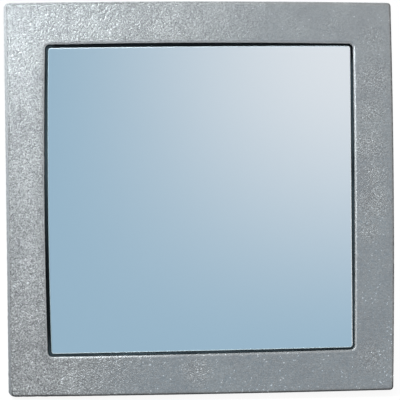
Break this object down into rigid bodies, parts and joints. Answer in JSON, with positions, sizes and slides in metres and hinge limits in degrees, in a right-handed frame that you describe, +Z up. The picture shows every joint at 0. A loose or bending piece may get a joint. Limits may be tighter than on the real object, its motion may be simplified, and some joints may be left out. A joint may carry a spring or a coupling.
{
  "type": "cosmetic mirror",
  "caption": "Square cosmetic mirror in a rough cast aluminium frame, leaning back on a folding strut that is hinged to its velour-faced backing panel.",
  "frame": {"origin": "on the table, in the middle of the space the mirror takes up as it stands with its strut open", "axes": "+Z up, +X to the right of someone who looks into the mirror, +Y away from them, towards the strut"},
  "size_m": [0.18, 0.0732, 0.1744],
  "materials": {
    "cast_aluminium": "sand-cast, bright and grainy",
    "silvered_glass": "flat silvered glass with a ground arris",
    "black_foam": "matt black foam rubber",
    "white_foam_tape": "foam tape",
    "black_fibreboard": "black fibreboard",
    "black_velour": "black velour with a short nap",
    "zinc_steel": "zinc-plated steel",
    "hinge_steel": "pressed steel, bright zinc",
    "rivet_brass": "brass-plated rivets",
    "pin_steel": "drawn steel wire",
    "black_rubber": "soft black rubber"
  },
  "bodies": {
    "mirror": {"cast_frame": "cast_aluminium", "mirror_plate": "silvered_glass", "glazing_strip": "black_foam", "tape_strips": "white_foam_tape", "backing_panel": "black_fibreboard", "back_velour": "black_velour", "panel_screws": "zinc_steel", "fixed_leaf": "hinge_steel", "fixed_leaf_rivets": "rivet_brass", "hinge_pin": "pin_steel"},
    "strut": {"moving_leaf": "hinge_steel", "strut_board": "black_fibreboard", "strut_velour": "black_velour", "moving_leaf_rivets": "rivet_brass", "strut_foot": "black_rubber"}
  },
  "joints": [
    {"name": "strut_hinge", "type": "hinge", "parent": "mirror", "child": "strut", "pos_m": [0, 0.01422, 0.13388], "axis": [1, 0, 0], "range_deg": [-26, 0]}
  ]
}
